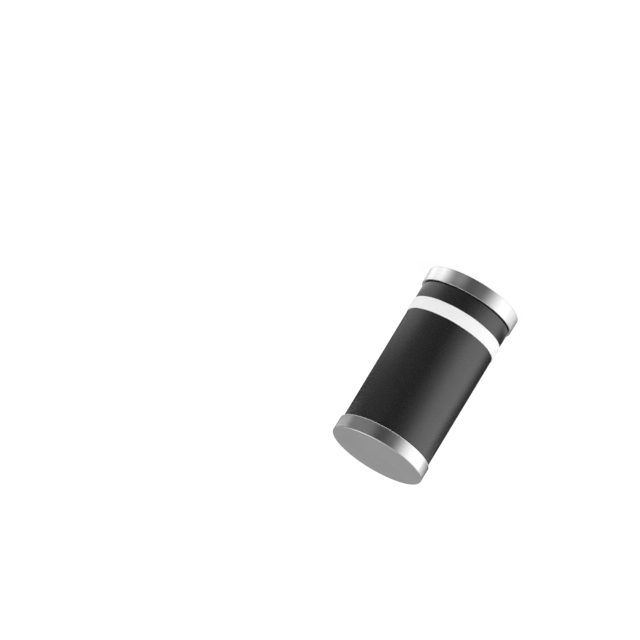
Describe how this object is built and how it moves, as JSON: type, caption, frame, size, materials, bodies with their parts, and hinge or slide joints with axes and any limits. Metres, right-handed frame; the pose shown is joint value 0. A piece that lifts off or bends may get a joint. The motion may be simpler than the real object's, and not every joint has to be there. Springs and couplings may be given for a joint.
{
  "type": "rectifier diode",
  "caption": "Cylindrical leadless rectifier diode: a black moulded body between plated metal end caps, with a white ring marking the cathode end.",
  "frame": {"origin": "centre of the cathode end face, on which the part stands", "axes": "+Z along the case axis, from the cathode end up to the anode end; X and Y lie in the end face, along the chip's sides"},
  "size_m": [0.0026, 0.0026, 0.005],
  "materials": {
    "epoxy_black": "satin black moulded epoxy",
    "tin_plate": "satin tin plate over copper",
    "white_ink": "printed white ink",
    "silicon": "polished grey silicon",
    "solder": "dull solder",
    "silicone": "soft white silicone rubber"
  },
  "bodies": {
    "root": {"moulded_body": "epoxy_black", "cathode_terminal": "tin_plate", "anode_terminal": "tin_plate", "cathode_band": "white_ink", "silicon_die": "silicon", "cathode_solder": "solder", "anode_solder": "solder", "junction_coating": "silicone"}
  },
  "joints": []
}
